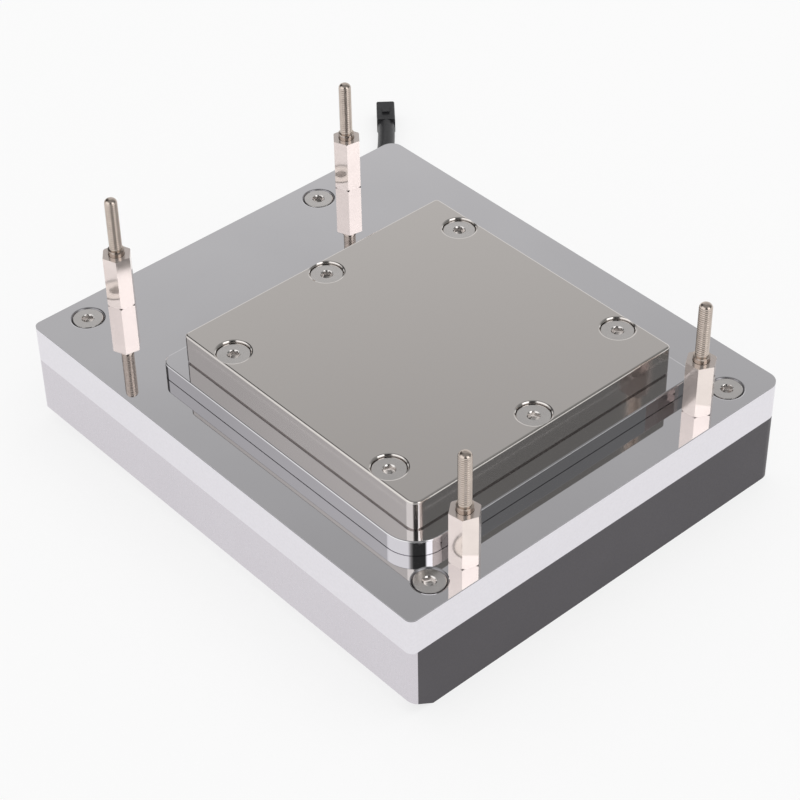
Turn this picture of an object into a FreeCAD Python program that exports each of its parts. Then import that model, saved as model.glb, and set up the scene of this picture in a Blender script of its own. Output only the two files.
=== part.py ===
import FreeCAD, Part
import math
import os

# Liquid cold plate for a server processor, lying with its contact face up.
# Millimetres, +Z up. The origin is the middle of the housing's underside.
# +X runs along the long side towards the end that carries the dark cover.

# Stud pattern of the processor socket, and what stands round it
STUD_PITCH_X = 94.0
STUD_PITCH_Y = 56.0
STUD_EDGE_X = 5.2
STUD_EDGE_Y = 16.6

# Mounting plate and housing share one outline
PLATE_THICK = 7.6
HOUSING_HEIGHT = 14.4
OUTLINE_NEAR_R = 1.4
OUTLINE_FAR_R = 2.6
LOWER_CHAMFER_HEIGHT = 3.0
LOWER_CHAMFER_WIDTH = 4.7

# End cover, let into the +X end between two side lips
SCREW_TO_COVER = 2.2
COVER_LIP = 1.4

# Contact plate and the pedestal that carries it
CONTACT_SIDE = 61.0
CONTACT_THICK = 6.1
CONTACT_CORNER_R = 0.9
CONTACT_FRONT_R = 1.9
CONTACT_EDGE_R = 0.4
CONTACT_FOOT_GAP = 0.35
CONTACT_FOOT_DEPTH = 0.3
PEDESTAL_LEDGE = 3.35
PEDESTAL_HEIGHT = 3.2
PEDESTAL_CORNER_R = 2.4
PEDESTAL_FRONT_R = 6.4
PEDESTAL_EDGE_R = 0.25
PEDESTAL_FOOT_GAP = 0.12
PEDESTAL_FOOT_DEPTH = 0.15
PEDESTAL_MARGIN_X = 9.25
PEDESTAL_MARGIN_Y = 8.85

# M3 low-head screws
THREAD_R = 1.5
THREAD_CLEAR = 0.05
THROUGH_CLEAR = 0.2
SCREW_TIP_CHAMFER = 0.4
CONTACT_HEAD_R = 3.05
PLATE_HEAD_R = 2.85
SCREW_HEAD_HEIGHT = 2.0
CONTACT_SCREW_RECESS = 0.5
PLATE_SCREW_RECESS = 0.05
SCREW_HEAD_BEVEL = 0.12
RING_LIP = 0.2
RING_LIP_DROP = 0.05
SOCKET_FLATS = 2.0
SOCKET_DEPTH = 1.0
SOCKET_MOUTH_R = 1.3
SOCKET_MOUTH_DEPTH = 0.3
SOCKET_TURN_FIRST = 18.0
SOCKET_TURN_STEP = 25.0
HOLE_SPARE = 1.2

CONTACT_RING_CLEAR = 0.07
CONTACT_RING_BEVEL = 0.15
CONTACT_SCREW_EDGE = 3.4
CONTACT_SCREW_X = 20.6
CONTACT_SCREW_GRIP = 6.4

PLATE_RING_CLEAR = 0.05
PLATE_RING_BEVEL = 0.2
PLATE_SCREW_GAP_Y = 7.8
INBOARD_SCREW_GAP_Y = 7.7
PLATE_SCREW_GRIP = 4.7

# Hex standoffs with M2.5 studs
HEX_FLATS = 5.0
HEX_HEIGHT = 10.9
HEX_TURNS_DEG = (21.0, 9.0, 3.0, 21.0)
HEX_FOOT_CUT = 0.22
HEX_RIM_CUT = 0.1
HEX_CUT_SLOPE = 1.2
STANDOFF_FLOOR = 0.9
STANDOFF_TIP_GAP = 0.8
STUD_R = 1.225
STUD_RISE = 12.3
STUD_GRIP = 4.5
STUD_GRIP_R = 1.5
STUD_COLLAR_HEIGHT = 1.2
STUD_TIP_ROUND = 0.9

# Seal rings in their grooves
SEAL_WIDTH = 2.0
SEAL_CLEAR = 0.1
SEAL_EDGE_R = 0.5
CONTACT_GROOVE_DEPTH = 1.35
CONTACT_GROOVE_TO_SCREW = 4.0
HOUSING_GROOVE_DEPTH = 1.5
HOUSING_GROOVE_MARGIN = 3.1
HOUSING_GROOVE_CORNER_R = 6.0

# Window, fins and flow divider
WINDOW_WALL = 1.4
WINDOW_CORNER_R = 2.0
FIN_HEIGHT = 6.0
FIN_THICK = 0.8
FIN_PITCH = 1.6
FIN_SIDE_GAP = 1.5
FIN_END_GAP = 3.5
DIVIDER_FLANGE = 2.0
DIVIDER_FLANGE_THICK = 2.0
DIVIDER_CLEAR = 0.3
DIVIDER_TO_FINS = 0.2
REBATE_CLEAR = 0.2
JET_WIDTH = 2.5
JET_END_WALL = 3.2
RETURN_SLOT_WIDTH = 3.0
RETURN_SLOT_WALL = 1.1

# Channels in the housing and the two G1/4 ports in its underside
CHANNEL_DEPTH = 5.5
INLET_CHANNEL_WIDTH = 9.0
INLET_CHANNEL_SPARE = 0.5
RETURN_CHANNEL_WIDTH = 7.0
CROSS_CHANNEL_REACH = 2.0
PORT_R = 5.9
PORT_CHAMFER = 0.9
INLET_PORT_EDGE = 21.7
OUTLET_PORT_EDGE = 17.6
INLET_PAD_R = 7.0

# Temperature sensor, its boot, lead and plug
SENSOR_R = 1.5
SENSOR_CLEAR = 0.1
SENSOR_LENGTH = 12.0
SENSOR_TIP_ROUND = 0.5
SENSOR_Y = -24.0
SENSOR_Z = 5.0
BOOT_STEM = 2.0
BOOT_R = 3.2
BOOT_COLLAR_R = 4.0
BOOT_COLLAR_THICK = 1.2
BOOT_REACH = 6.0
BOOT_LENGTH = 13.0
BOOT_END_R = 2.5
LEAD_D = 3.7
LEAD_POINTS = [
    (-58.2, -2.0, 5.0),
    (-58.0, 9.5, 1.85),
    (-58.4, 21.5, 1.85),
    (-59.6, 35.0, 1.85),
    (-63.5, 48.0, 1.85),
    (-71.2, 59.6, 1.85),
    (-80.0, 67.0, 1.85),
]
LEAD_BEND_SHARE = 0.45
PLUG_LENGTH = 7.0
PLUG_WIDTH = 4.0
PLUG_EDGE_R = 0.4
PLUG_POLE_SIZE = 1.0
PLUG_POLE_PITCH = 1.7
PLUG_POLE_DEPTH = 4.0
PLUG_RIB_LENGTH = 2.2
PLUG_RIB_WIDTH = 1.6
PLUG_RIB_HEIGHT = 0.4

# Sizes and places that follow from the ones above
plate_x = STUD_PITCH_X + 2 * STUD_EDGE_X
plate_y = STUD_PITCH_Y + 2 * STUD_EDGE_Y
plate_bottom = HOUSING_HEIGHT
plate_top = plate_bottom + PLATE_THICK
pedestal_side = CONTACT_SIDE + 2 * PEDESTAL_LEDGE
pedestal_top = plate_top + PEDESTAL_HEIGHT
contact_top = pedestal_top + CONTACT_THICK
centre_x = plate_x / 2 - PEDESTAL_MARGIN_X - pedestal_side / 2
centre_y = -plate_y / 2 + PEDESTAL_MARGIN_Y + pedestal_side / 2
stud_x = STUD_PITCH_X / 2
stud_y = STUD_PITCH_Y / 2
cover_thick = STUD_EDGE_X - SCREW_TO_COVER

groove_width = SEAL_WIDTH + 2 * SEAL_CLEAR
contact_screw_line = CONTACT_SIDE / 2 - CONTACT_SCREW_EDGE
contact_groove_half = contact_screw_line - CONTACT_GROOVE_TO_SCREW
window_half = contact_groove_half - groove_width / 2 - WINDOW_WALL
fin_bottom = pedestal_top - FIN_HEIGHT
divider_half = window_half + DIVIDER_FLANGE
divider_body_half = window_half - DIVIDER_CLEAR
divider_top = fin_bottom - DIVIDER_TO_FINS
divider_bottom = plate_bottom - DIVIDER_FLANGE_THICK
jet_half = divider_body_half - JET_END_WALL
return_line = divider_body_half - RETURN_SLOT_WALL - RETURN_SLOT_WIDTH / 2

channel_floor = plate_bottom - CHANNEL_DEPTH
inlet_x = -plate_x / 2 + INLET_PORT_EDGE
outlet_x = plate_x / 2 - OUTLET_PORT_EDGE
cavity_left = inlet_x - INLET_PAD_R
cavity_right = outlet_x + PORT_R
cavity_half_y = divider_half + REBATE_CLEAR

contact_seat_drop = CONTACT_SCREW_RECESS + SCREW_HEAD_HEIGHT
plate_seat_drop = PLATE_SCREW_RECESS + SCREW_HEAD_HEIGHT
standoff_thread = PLATE_THICK - STANDOFF_FLOOR - STANDOFF_TIP_GAP
sensor_bore_r = SENSOR_R + SENSOR_CLEAR
sensor_bore_depth = SENSOR_LENGTH + BOOT_STEM
lead_r = LEAD_D / 2
face_x = -plate_x / 2
exit_point = (face_x - BOOT_REACH, SENSOR_Y + BOOT_LENGTH, SENSOR_Z)

# How far a cutting body runs past the face that it cuts
OVERRUN = 1.0
X_AXIS = FreeCAD.Vector(1, 0, 0)
Y_AXIS = FreeCAD.Vector(0, 1, 0)
Z_AXIS = FreeCAD.Vector(0, 0, 1)


def vec(x, y, z):
    return FreeCAD.Vector(x, y, z)


def box(x0, x1, y0, y1, z0, z1):
    return Part.makeBox(x1 - x0, y1 - y0, z1 - z0, vec(x0, y0, z0))


def post(x, y, z0, z1, r):
    """An upright cylinder."""
    return Part.makeCylinder(r, z1 - z0, vec(x, y, z0), Z_AXIS)


def rounded_block(x0, x1, y0, y1, z0, z1, r, front_r=None, left_r=None):
    """A block with rounded upright corners; front_r is for +X and -Y, left_r for -X and -Y."""
    turned = [
        (x1, y1, -1, -1, r),
        (x0, y1, 1, -1, r),
        (x0, y0, 1, 1, left_r or r),
        (x1, y0, -1, 1, front_r or r),
    ]
    points = []
    for number, (x, y, inward_x, inward_y, radius) in enumerate(turned):
        cx = x + inward_x * radius
        cy = y + inward_y * radius
        for turn in (0, 45, 90):
            angle = math.radians(90 * number + turn)
            points.append(vec(cx + radius * math.cos(angle), cy + radius * math.sin(angle), z0))
    edges = []
    for corner in range(4):
        first, middle, last = points[3 * corner : 3 * corner + 3]
        edges.append(Part.Arc(first, middle, last).toShape())
        following = points[(3 * corner + 3) % len(points)]
        edges.append(Part.LineSegment(last, following).toShape())
    face = Part.Face(Part.Wire(edges))
    return face.extrude(vec(0, 0, z1 - z0))


def centred_block(half_x, half_y, z0, z1, r, front_r=None):
    """A rounded block about the contact plate's middle."""
    x0, x1 = centre_x - half_x, centre_x + half_x
    y0, y1 = centre_y - half_y, centre_y + half_y
    return rounded_block(x0, x1, y0, y1, z0, z1, r, front_r)


def ring_block(x0, x1, y0, y1, z0, z1, width, r):
    """A closed band of one width whose centre line is a rounded rectangle."""
    half = width / 2
    outer = rounded_block(x0 - half, x1 + half, y0 - half, y1 + half, z0, z1, r + half)
    inner = rounded_block(x0 + half, x1 - half, y0 + half, y1 - half, z0, z1, r - half)
    return outer.cut(inner)


def hexagon(x, y, z0, z1, flats, turn_deg):
    """An upright hexagonal prism; a corner points along turn_deg."""
    radius = flats / math.sqrt(3)
    points = []
    for corner in range(7):
        angle = math.radians(turn_deg + 60 * corner)
        points.append(vec(x + radius * math.cos(angle), y + radius * math.sin(angle), z0))
    face = Part.Face(Part.makePolygon(points))
    return face.extrude(vec(0, 0, z1 - z0))


def edges_at_height(shape, z):
    """The edges that lie level at z."""
    found = []
    for edge in shape.Edges:
        limits = edge.BoundBox
        if abs(limits.ZMin - z) < 1e-4 and abs(limits.ZMax - z) < 1e-4:
            found.append(edge)
    return found


def fused(pieces):
    """Several solids as one."""
    return pieces[0].fuse(pieces[1:]).removeSplitter()


def outline_block(z0, z1):
    """The outline that the plate and the housing share."""
    x, y = plate_x / 2, plate_y / 2
    return rounded_block(-x, x, -y, y, z0, z1, OUTLINE_FAR_R, OUTLINE_NEAR_R, OUTLINE_NEAR_R)


def contact_screw_places():
    rows = [(-CONTACT_SCREW_X, -1), (CONTACT_SCREW_X, -1), (CONTACT_SCREW_X, 1), (-CONTACT_SCREW_X, 1)]
    places = [(centre_x + dx, centre_y + side * contact_screw_line) for dx, side in rows]
    places.append((centre_x + contact_screw_line, centre_y))
    places.append((centre_x - contact_screw_line, centre_y))
    return places


def plate_screw_places():
    outboard = stud_y + PLATE_SCREW_GAP_Y
    inboard = stud_y - INBOARD_SCREW_GAP_Y
    return [(-stud_x, -outboard), (stud_x, -outboard), (stud_x, outboard), (-stud_x, inboard)]


def stud_places():
    return [(-stud_x, -stud_y), (stud_x, -stud_y), (stud_x, stud_y), (-stud_x, stud_y)]


def screw_seat(x, y, top, drop, ring_r, ring_bevel):
    """The counterbore for a screw head, whose mouth is bevelled and then slopes gently outwards."""
    well = post(x, y, top - drop, top + OVERRUN, ring_r)
    lip_low = top - RING_LIP_DROP
    lip_r = ring_r + ring_bevel
    mouth = Part.makeCone(ring_r, lip_r, ring_bevel, vec(x, y, lip_low - ring_bevel), Z_AXIS)
    lip = Part.makeCone(lip_r, lip_r + 2 * RING_LIP, 2 * RING_LIP_DROP, vec(x, y, lip_low), Z_AXIS)
    return [well.fuse([mouth, lip])]


def screw(x, y, seat, head_r, length, number):
    """A low-head socket screw whose head stands on the seat."""
    head_top = seat + SCREW_HEAD_HEIGHT
    head = post(x, y, seat, head_top, head_r)
    head = head.makeChamfer(SCREW_HEAD_BEVEL, edges_at_height(head, head_top))
    shank = post(x, y, seat - length, seat, THREAD_R)
    shank = shank.makeChamfer(SCREW_TIP_CHAMFER, edges_at_height(shank, seat - length))
    turn = SOCKET_TURN_FIRST + SOCKET_TURN_STEP * number
    socket = hexagon(x, y, head_top - SOCKET_DEPTH, head_top + OVERRUN, SOCKET_FLATS, turn)
    depth = SOCKET_MOUTH_DEPTH
    mouth = Part.makeCone(SOCKET_MOUTH_R - depth, SOCKET_MOUTH_R, depth, vec(x, y, head_top - depth))
    return head.fuse(shank).cut([socket, mouth])


def channels():
    """All that is milled and drilled out of the housing for the coolant."""
    top = plate_bottom + OVERRUN
    half_inlet = INLET_CHANNEL_WIDTH / 2
    half_return = RETURN_CHANNEL_WIDTH / 2
    cuts = [
        centred_block(
            divider_half + REBATE_CLEAR,
            divider_half + REBATE_CLEAR,
            divider_bottom,
            top,
            WINDOW_CORNER_R + DIVIDER_FLANGE + REBATE_CLEAR,
        ),
        post(inlet_x, centre_y, channel_floor, top, INLET_PAD_R),
        box(
            inlet_x,
            centre_x + jet_half + INLET_CHANNEL_SPARE,
            centre_y - half_inlet,
            centre_y + half_inlet,
            channel_floor,
            top,
        ),
        box(
            outlet_x - CROSS_CHANNEL_REACH,
            cavity_right,
            centre_y - return_line - half_return,
            centre_y + return_line + half_return,
            channel_floor,
            top,
        ),
    ]
    for side in (-1, 1):
        line = centre_y + side * return_line
        start = centre_x - jet_half - INLET_CHANNEL_SPARE
        cuts.append(box(start, cavity_right, line - half_return, line + half_return, channel_floor, top))
    for port_x in (inlet_x, outlet_x):
        cuts.append(post(port_x, centre_y, -OVERRUN, channel_floor, PORT_R))
        mouth_r = PORT_R + PORT_CHAMFER
        cuts.append(Part.makeCone(mouth_r, PORT_R, PORT_CHAMFER, vec(port_x, centre_y, 0), Z_AXIS))
    return cuts


def housing_seal_ring(z0, z1, width):
    """The band round all the channels, in the housing's top face."""
    return ring_block(
        cavity_left - HOUSING_GROOVE_MARGIN,
        cavity_right + HOUSING_GROOVE_MARGIN,
        centre_y - cavity_half_y - HOUSING_GROOVE_MARGIN,
        centre_y + cavity_half_y + HOUSING_GROOVE_MARGIN,
        z0,
        z1,
        width,
        HOUSING_GROOVE_CORNER_R,
    )


def contact_seal_ring(z0, z1, width):
    """The band round the window, in the pedestal's top face."""
    half = contact_groove_half
    return ring_block(
        centre_x - half,
        centre_x + half,
        centre_y - half,
        centre_y + half,
        z0,
        z1,
        width,
        WINDOW_CORNER_R + WINDOW_WALL + groove_width / 2,
    )


def lower_body():
    """Housing and end cover together, with the chamfer along the lower -Y edge."""
    body = outline_block(0, plate_bottom)
    front = -plate_y / 2
    long_x = plate_x
    corner = [
        vec(-long_x, front - LOWER_CHAMFER_WIDTH, -LOWER_CHAMFER_HEIGHT),
        vec(-long_x, front + 2 * LOWER_CHAMFER_WIDTH, -LOWER_CHAMFER_HEIGHT),
        vec(-long_x, front - LOWER_CHAMFER_WIDTH, 2 * LOWER_CHAMFER_HEIGHT),
        vec(-long_x, front - LOWER_CHAMFER_WIDTH, -LOWER_CHAMFER_HEIGHT),
    ]
    wedge = Part.Face(Part.makePolygon(corner)).extrude(vec(2 * long_x, 0, 0))
    return body.cut(wedge)


def cover_space():
    """The space that the end cover fills."""
    inner_face = plate_x / 2 - cover_thick
    reach = plate_y / 2 - COVER_LIP
    return box(inner_face, plate_x, -reach, reach, -OVERRUN, plate_bottom + OVERRUN)


def make_housing():
    body = lower_body().cut(cover_space())
    cuts = channels()
    groove_floor = plate_bottom - HOUSING_GROOVE_DEPTH
    cuts.append(housing_seal_ring(groove_floor, plate_bottom + OVERRUN, groove_width))
    depth = PLATE_SCREW_GRIP + HOLE_SPARE
    for x, y in plate_screw_places():
        cuts.append(post(x, y, plate_bottom - depth, plate_bottom + OVERRUN, THREAD_R + THREAD_CLEAR))
    bore_start = vec(face_x - OVERRUN, SENSOR_Y, SENSOR_Z)
    cuts.append(Part.makeCylinder(sensor_bore_r, sensor_bore_depth + OVERRUN, bore_start, X_AXIS))
    return body.cut(cuts)


def make_end_cover():
    return lower_body().common(cover_space())


def make_housing_seal():
    ring = housing_seal_ring(plate_bottom - HOUSING_GROOVE_DEPTH, plate_bottom, SEAL_WIDTH)
    return ring.makeFillet(SEAL_EDGE_R, edges_at_height(ring, plate_bottom - HOUSING_GROOVE_DEPTH))


def foot_groove(half, radii, z, gap, depth):
    """What is cut away round the foot of a centred block, so that a thin shadow gap shows there."""
    inner = centred_block(half - depth, half - depth, z, z + gap, *[r - depth for r in radii])
    outer = centred_block(half + OVERRUN, half + OVERRUN, z, z + gap, *radii)
    return outer.cut(inner)


def make_mounting_plate():
    plate = outline_block(plate_bottom, plate_top)
    half = pedestal_side / 2
    radii = (PEDESTAL_CORNER_R, PEDESTAL_FRONT_R)
    pedestal = centred_block(half, half, plate_top, pedestal_top, *radii)
    pedestal = pedestal.makeFillet(PEDESTAL_EDGE_R, edges_at_height(pedestal, pedestal_top))
    groove = foot_groove(half, radii, plate_top, PEDESTAL_FOOT_GAP, PEDESTAL_FOOT_DEPTH)
    pedestal = pedestal.cut(groove)
    body = plate.fuse(pedestal)
    above = pedestal_top + OVERRUN
    cuts = [centred_block(window_half, window_half, plate_bottom - OVERRUN, above, WINDOW_CORNER_R)]
    cuts.append(contact_seal_ring(pedestal_top - CONTACT_GROOVE_DEPTH, above, groove_width))
    thread_hole_r = THREAD_R + THREAD_CLEAR
    contact_hole = CONTACT_SCREW_GRIP + HOLE_SPARE
    for x, y in contact_screw_places():
        cuts.append(post(x, y, pedestal_top - contact_hole, above, thread_hole_r))
    for x, y in plate_screw_places():
        cuts.append(post(x, y, plate_bottom - OVERRUN, plate_top, THREAD_R + THROUGH_CLEAR))
        ring_r = PLATE_HEAD_R + PLATE_RING_CLEAR
        cuts.extend(screw_seat(x, y, plate_top, plate_seat_drop, ring_r, PLATE_RING_BEVEL))
    for x, y in stud_places():
        cuts.append(post(x, y, plate_bottom + STANDOFF_FLOOR, plate_top + OVERRUN, thread_hole_r))
    return body.cut(cuts)


def divider_slot(line, half_width):
    """A round-ended slot through the flow divider, along X."""
    low = divider_bottom - OVERRUN
    high = divider_top + OVERRUN
    straight = jet_half - half_width
    slot = box(centre_x - straight, centre_x + straight, line - half_width, line + half_width, low, high)
    ends = [post(centre_x + side * straight, line, low, high, half_width) for side in (-1, 1)]
    return slot.fuse(ends)


def make_flow_divider():
    corner_r = WINDOW_CORNER_R
    flange = centred_block(
        divider_half, divider_half, divider_bottom, plate_bottom, corner_r + DIVIDER_FLANGE
    )
    body = centred_block(divider_body_half, divider_body_half, divider_bottom, divider_top, corner_r)
    cuts = [divider_slot(centre_y, JET_WIDTH / 2)]
    for side in (-1, 1):
        cuts.append(divider_slot(centre_y + side * return_line, RETURN_SLOT_WIDTH / 2))
    return fused([flange, body]).cut(cuts)


def make_contact_seal():
    ring = contact_seal_ring(pedestal_top - CONTACT_GROOVE_DEPTH, pedestal_top, SEAL_WIDTH)
    return ring.makeFillet(SEAL_EDGE_R, edges_at_height(ring, pedestal_top - CONTACT_GROOVE_DEPTH))


def make_contact_plate():
    half = CONTACT_SIDE / 2
    radii = (CONTACT_CORNER_R, CONTACT_FRONT_R)
    plate = centred_block(half, half, pedestal_top, contact_top, *radii)
    plate = plate.makeFillet(CONTACT_EDGE_R, edges_at_height(plate, contact_top))
    groove = foot_groove(half, radii, pedestal_top, CONTACT_FOOT_GAP, CONTACT_FOOT_DEPTH)
    plate = plate.cut(groove)
    fin_half_y = window_half - FIN_END_GAP
    span = 2 * (window_half - FIN_SIDE_GAP) - FIN_THICK
    gaps = int(span / FIN_PITCH)
    fins = []
    for number in range(gaps + 1):
        x = centre_x + (number - gaps / 2) * FIN_PITCH
        x0 = x - FIN_THICK / 2
        fin = box(x0, x0 + FIN_THICK, centre_y - fin_half_y, centre_y + fin_half_y, fin_bottom, pedestal_top)
        fins.append(fin)
    cuts = []
    for x, y in contact_screw_places():
        cuts.append(post(x, y, pedestal_top - OVERRUN, contact_top, THREAD_R + THROUGH_CLEAR))
        ring_r = CONTACT_HEAD_R + CONTACT_RING_CLEAR
        cuts.extend(screw_seat(x, y, contact_top, contact_seat_drop, ring_r, CONTACT_RING_BEVEL))
    return plate.cut(cuts).fuse(fins)


def make_standoff(x, y, turn_deg):
    """A hex body whose corners are turned off at both ends, and a threaded spigot below it."""
    top = plate_top + HEX_HEIGHT
    prism = hexagon(x, y, plate_top, top, HEX_FLATS, turn_deg)
    corner_r = HEX_FLATS / math.sqrt(3)
    foot_rise = HEX_FOOT_CUT * HEX_CUT_SLOPE
    rim_rise = HEX_RIM_CUT * HEX_CUT_SLOPE
    foot = Part.makeCone(corner_r - HEX_FOOT_CUT, corner_r, foot_rise, vec(x, y, plate_top), Z_AXIS)
    middle = post(x, y, plate_top + foot_rise, top - rim_rise, corner_r)
    rim = Part.makeCone(corner_r, corner_r - HEX_RIM_CUT, rim_rise, vec(x, y, top - rim_rise), Z_AXIS)
    prism = prism.common(foot.fuse([middle, rim]))
    spigot = post(x, y, plate_top - standoff_thread, plate_top, THREAD_R)
    spigot = spigot.makeChamfer(SCREW_TIP_CHAMFER, edges_at_height(spigot, plate_top - standoff_thread))
    bore = post(x, y, top - STUD_GRIP - HOLE_SPARE, top + OVERRUN, STUD_GRIP_R + THREAD_CLEAR)
    return prism.fuse(spigot).cut(bore)


def make_stud(x, y):
    """A thick threaded end, which shows a little above the standoff, and a thinner free rod."""
    root = plate_top + HEX_HEIGHT
    shoulder = root + STUD_COLLAR_HEIGHT
    tip = root + STUD_RISE
    grip = post(x, y, root - STUD_GRIP, shoulder, STUD_GRIP_R)
    rod = post(x, y, shoulder, tip, STUD_R)
    rod = rod.makeFillet(STUD_TIP_ROUND, edges_at_height(rod, tip))
    return fused([grip, rod])


def make_sensor_probe():
    start = vec(face_x + BOOT_STEM, SENSOR_Y, SENSOR_Z)
    sleeve = Part.makeCylinder(SENSOR_R, SENSOR_LENGTH, start, X_AXIS)
    tip = face_x + sensor_bore_depth
    tip_edge = [edge for edge in sleeve.Edges if edge.BoundBox.XMin > tip - SENSOR_TIP_ROUND]
    return sleeve.makeFillet(SENSOR_TIP_ROUND, tip_edge)


def make_sensor_boot():
    """A right-angle boot: stem in the bore, collar on the face, tapered tail along +Y."""
    elbow = vec(face_x - BOOT_REACH, SENSOR_Y, SENSOR_Z)
    stem_start = vec(face_x - BOOT_COLLAR_THICK, SENSOR_Y, SENSOR_Z)
    stem = Part.makeCylinder(SENSOR_R, BOOT_STEM + BOOT_COLLAR_THICK, stem_start, X_AXIS)
    collar = Part.makeCylinder(BOOT_COLLAR_R, BOOT_COLLAR_THICK, stem_start, X_AXIS)
    arm = Part.makeCylinder(BOOT_R, BOOT_REACH, elbow, X_AXIS)
    ball = Part.makeSphere(BOOT_R, elbow)
    tail = Part.makeCone(BOOT_R, BOOT_END_R, BOOT_LENGTH, elbow, Y_AXIS)
    return fused([arm, collar, stem, ball, tail])


def lead_route():
    return [vec(*exit_point)] + [vec(*point) for point in LEAD_POINTS]


def make_sensor_lead():
    """Straight runs joined by tangent arcs, swept as one tube."""
    route = lead_route()
    edges = []
    here = route[0]
    radii = []
    for number in range(1, len(route) - 1):
        corner = route[number]
        back = route[number - 1] - corner
        ahead = route[number + 1] - corner
        turn = math.pi - back.getAngle(ahead)
        reach = LEAD_BEND_SHARE * min(back.Length, ahead.Length)
        radius = reach / math.tan(turn / 2)
        radii.append(round(radius, 1))
        back.normalize()
        ahead.normalize()
        start = corner + back * reach
        end = corner + ahead * reach
        inward = back + ahead
        inward.normalize()
        middle = corner + inward * (radius / math.cos(turn / 2) - radius)
        edges.append(Part.LineSegment(here, start).toShape())
        edges.append(Part.Arc(start, middle, end).toShape())
        here = end
    edges.append(Part.LineSegment(here, route[-1]).toShape())
    path = Part.Wire(edges)
    ring = Part.Wire([Part.Circle(route[0], route[1] - route[0], lead_r).toShape()])
    tube = path.makePipeShell([ring], True, True)
    ratio = tube.Volume / (math.pi * lead_r**2 * path.Length)
    print("lead radii", radii)
    print("lead length", round(path.Length, 2), "volume over section times length", round(ratio, 5))
    return tube


def make_sensor_plug():
    """A small two-way housing on the lead's end, lying on the same surface as the lead."""
    route = lead_route()
    end = route[-1]
    ahead = end - route[-2]
    half = PLUG_WIDTH / 2
    block = box(0, PLUG_LENGTH, -half, half, -lead_r, lead_r)
    long_edges = [edge for edge in block.Edges if edge.BoundBox.XLength > PLUG_LENGTH / 2]
    block = block.makeFillet(PLUG_EDGE_R, long_edges)
    rib_half = PLUG_RIB_WIDTH / 2
    rib_middle = PLUG_LENGTH / 2
    rib = box(
        rib_middle - PLUG_RIB_LENGTH / 2,
        rib_middle + PLUG_RIB_LENGTH / 2,
        -rib_half,
        rib_half,
        0,
        lead_r + PLUG_RIB_HEIGHT,
    )
    plug = block.fuse(rib)
    pole_half = PLUG_POLE_SIZE / 2
    for side in (-1, 1):
        middle = side * PLUG_POLE_PITCH / 2
        pole = box(
            PLUG_LENGTH - PLUG_POLE_DEPTH,
            PLUG_LENGTH + OVERRUN,
            middle - pole_half,
            middle + pole_half,
            -pole_half,
            pole_half,
        )
        plug = plug.cut(pole)
    turn = math.degrees(math.atan2(ahead.y, ahead.x))
    plug.rotate(vec(0, 0, 0), Z_AXIS, turn)
    plug.translate(end)
    return plug


def all_parts():
    parts = {
        "housing": make_housing(),
        "end_cover": make_end_cover(),
        "housing_seal": make_housing_seal(),
        "mounting_plate": make_mounting_plate(),
        "flow_divider": make_flow_divider(),
        "contact_seal": make_contact_seal(),
        "contact_plate": make_contact_plate(),
        "sensor_probe": make_sensor_probe(),
        "sensor_boot": make_sensor_boot(),
        "sensor_lead": make_sensor_lead(),
        "sensor_plug": make_sensor_plug(),
    }
    seat = contact_top - contact_seat_drop
    length = CONTACT_THICK - contact_seat_drop + CONTACT_SCREW_GRIP
    for number, (x, y) in enumerate(contact_screw_places(), 1):
        parts[f"contact_screw_{number}"] = screw(x, y, seat, CONTACT_HEAD_R, length, number)
    seat = plate_top - plate_seat_drop
    length = PLATE_THICK - plate_seat_drop + PLATE_SCREW_GRIP
    for number, (x, y) in enumerate(plate_screw_places(), 1):
        parts[f"plate_screw_{number}"] = screw(x, y, seat, PLATE_HEAD_R, length, number)
    for number, (x, y) in enumerate(stud_places(), 1):
        parts[f"standoff_{number}"] = make_standoff(x, y, HEX_TURNS_DEG[number - 1])
        parts[f"stud_{number}"] = make_stud(x, y)
    return parts


os.makedirs("parts", exist_ok=True)
for name, shape in all_parts().items():
    limits = shape.BoundBox
    print(
        name,
        "solids",
        len(shape.Solids),
        "valid",
        shape.isValid(),
        "volume",
        round(shape.Volume, 1),
        "x",
        round(limits.XMin, 2),
        round(limits.XMax, 2),
        "y",
        round(limits.YMin, 2),
        round(limits.YMax, 2),
        "z",
        round(limits.ZMin, 2),
        round(limits.ZMax, 2),
    )
    shape.exportStep(f"parts/{name}.step")
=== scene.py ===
import math

import bpy
from bpy.props import FloatProperty, FloatVectorProperty, PointerProperty
from bpy.types import Operator, Panel, PropertyGroup
from mathutils import Matrix, Vector


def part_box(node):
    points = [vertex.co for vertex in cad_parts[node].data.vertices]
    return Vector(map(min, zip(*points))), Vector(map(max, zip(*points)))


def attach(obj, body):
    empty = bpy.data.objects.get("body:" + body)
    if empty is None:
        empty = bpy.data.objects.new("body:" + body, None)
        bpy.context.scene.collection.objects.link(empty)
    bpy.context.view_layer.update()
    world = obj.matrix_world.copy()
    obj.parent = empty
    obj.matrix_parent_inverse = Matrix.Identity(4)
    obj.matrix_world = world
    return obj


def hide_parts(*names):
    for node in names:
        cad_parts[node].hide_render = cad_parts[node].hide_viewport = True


bl_info = {
    "name": "Liquid Cold Plate",
    "version": (1, 0, 0),
    "blender": (4, 5, 0),
    "location": "3D View > Sidebar > Cold Plate",
    "description": "Dresses the packed cold plate with fine pieces and finishes",
    "category": "Object",
}

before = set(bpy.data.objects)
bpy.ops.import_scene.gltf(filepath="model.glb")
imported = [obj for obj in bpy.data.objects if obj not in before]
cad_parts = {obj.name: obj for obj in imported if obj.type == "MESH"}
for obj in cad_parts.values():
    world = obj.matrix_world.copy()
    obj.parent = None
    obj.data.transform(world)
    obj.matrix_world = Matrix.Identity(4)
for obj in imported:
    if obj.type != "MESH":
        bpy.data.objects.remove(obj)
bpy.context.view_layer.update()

MM = 0.001
ROOT = "root"

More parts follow.
